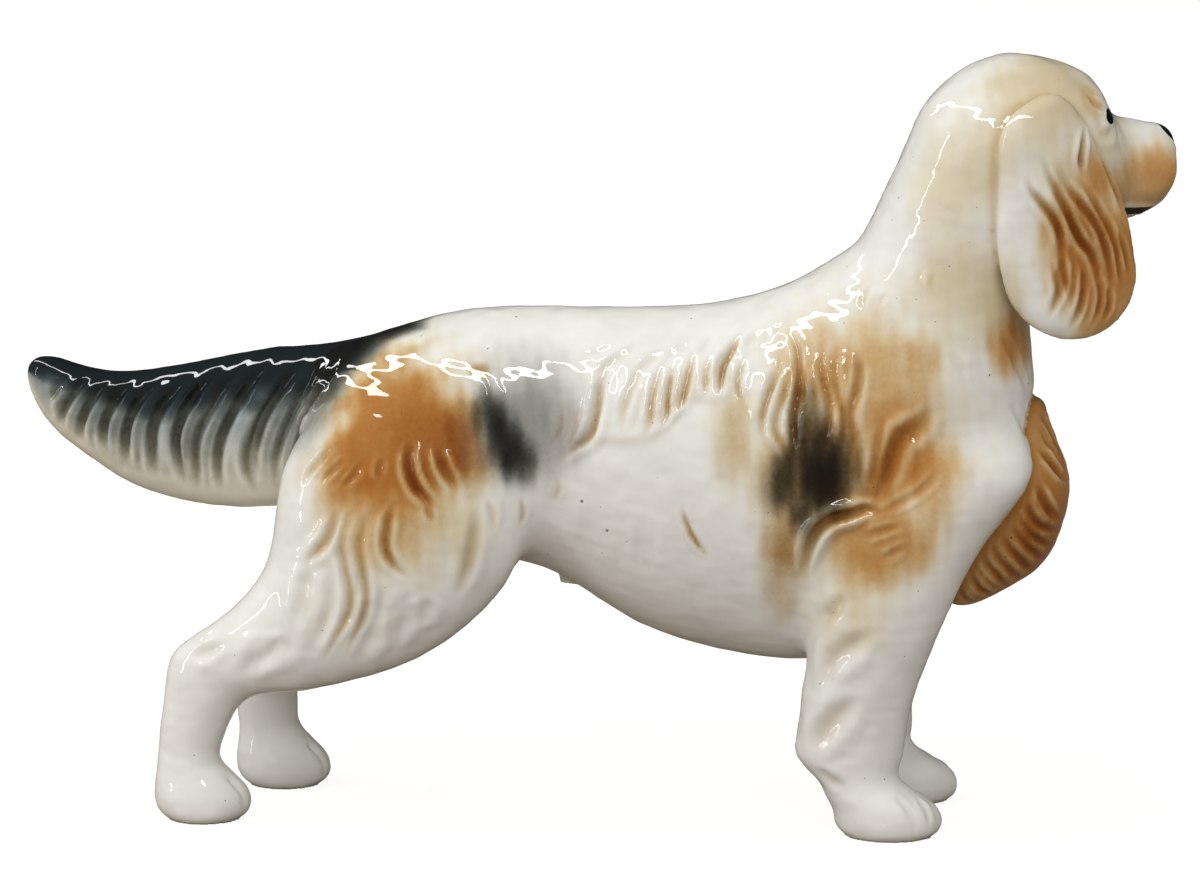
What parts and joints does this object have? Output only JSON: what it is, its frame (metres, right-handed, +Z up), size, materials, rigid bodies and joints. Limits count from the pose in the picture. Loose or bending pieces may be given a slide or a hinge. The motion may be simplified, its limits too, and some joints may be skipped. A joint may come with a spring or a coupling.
{
  "type": "standing setter dog figure",
  "caption": "Glazed pottery dog of the setter kind, standing side on with a feathered tail, its head turned to its left; free-standing ornament that rests on its feet.",
  "frame": {"origin": "on the table under the middle of the figure's overall box, in the body's middle plane", "axes": "+X the way the body faces, +Y the dog's left side, +Z up"},
  "size_m": [0.2915, 0.0666, 0.1944],
  "materials": {
    "body_glaze": "gloss ivory glaze with sprayed tan and black patches",
    "head_glaze": "gloss ivory glaze with a pale tan crown and painted eyes, nose and mouth",
    "ear_glaze": "gloss orange-brown glaze over carved locks",
    "tail_glaze": "gloss glaze, near black along the top and cream below, over carved locks",
    "feather_glaze": "gloss caramel glaze over carved locks",
    "leg_glaze": "gloss ivory glaze shaded tan, with bare clay soles"
  },
  "bodies": {
    "root": {"trunk": "body_glaze", "head": "head_glaze", "right_ear": "ear_glaze", "left_ear": "ear_glaze", "tail": "tail_glaze", "chest_feather": "feather_glaze", "front_right_leg": "leg_glaze", "front_left_leg": "leg_glaze", "hind_right_leg": "leg_glaze", "hind_left_leg": "leg_glaze"}
  },
  "joints": []
}
